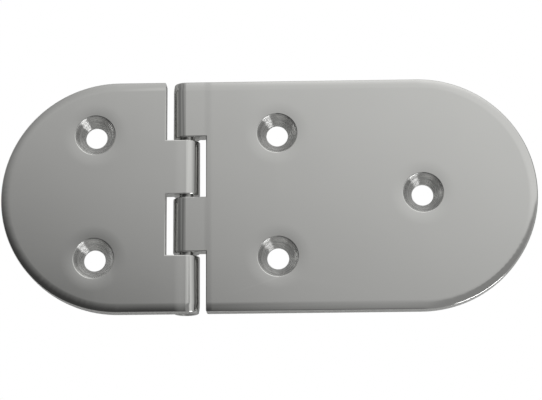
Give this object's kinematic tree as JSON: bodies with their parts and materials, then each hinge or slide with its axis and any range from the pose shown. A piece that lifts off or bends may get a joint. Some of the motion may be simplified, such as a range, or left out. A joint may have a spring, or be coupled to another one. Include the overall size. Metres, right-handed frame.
{
  "type": "flush strap hinge",
  "caption": "Polished steel hinge: a short and a long round-ended leaf with countersunk holes, turning on a plain pin.",
  "frame": {"origin": "midway between the short leaf's two screw holes, on the plane of the leaf backs", "axes": "+X from the short leaf towards the long leaf's tip, +Y along the pin, +Z out of the countersunk front faces"},
  "size_m": [0.14, 0.0616, 0.007],
  "materials": {
    "leaf_steel": "mirror-polished stainless steel",
    "pin_steel": "ground stainless steel"
  },
  "bodies": {
    "short_leaf": {"short_leaf": "leaf_steel", "hinge_pin": "pin_steel"},
    "long_leaf": {"long_leaf": "leaf_steel"}
  },
  "joints": [
    {"name": "leaf_hinge", "type": "hinge", "parent": "short_leaf", "child": "long_leaf", "pos_m": [0.0239, 0, 0.00048], "axis": [0, -1, 0], "range_deg": [-165, 110]}
  ]
}
